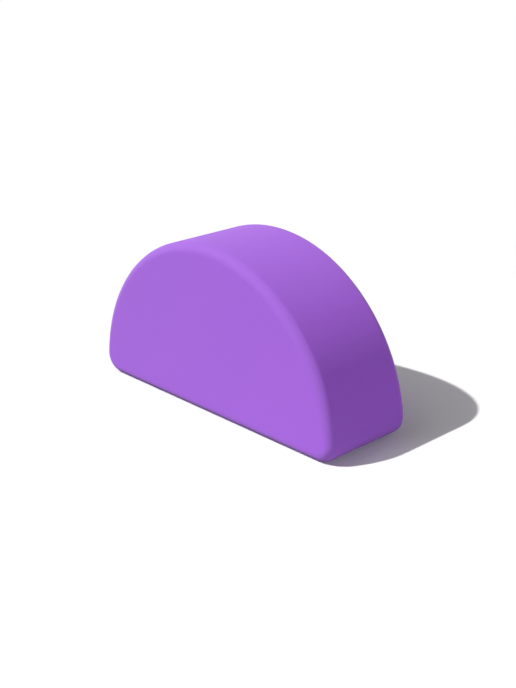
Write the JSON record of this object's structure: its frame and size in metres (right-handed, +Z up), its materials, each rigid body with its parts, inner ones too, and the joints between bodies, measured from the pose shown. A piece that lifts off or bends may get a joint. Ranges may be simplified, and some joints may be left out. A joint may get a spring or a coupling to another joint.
{
  "type": "yoga block",
  "caption": "Half-moon yoga block of firm purple closed-cell foam, with a flat base, an arched top and softly rounded edges.",
  "frame": {"origin": "middle of the flat base, on the surface that the block stands on", "axes": "+X along the length, +Y through the thickness towards the rear slab, +Z up from the base to the crown of the arch"},
  "size_m": [0.245, 0.076, 0.125],
  "materials": {
    "foam": "matte",
    "glue": "satin"
  },
  "bodies": {
    "root": {"front_slab": "foam", "rear_slab": "foam", "glue_film": "glue"}
  },
  "joints": []
}
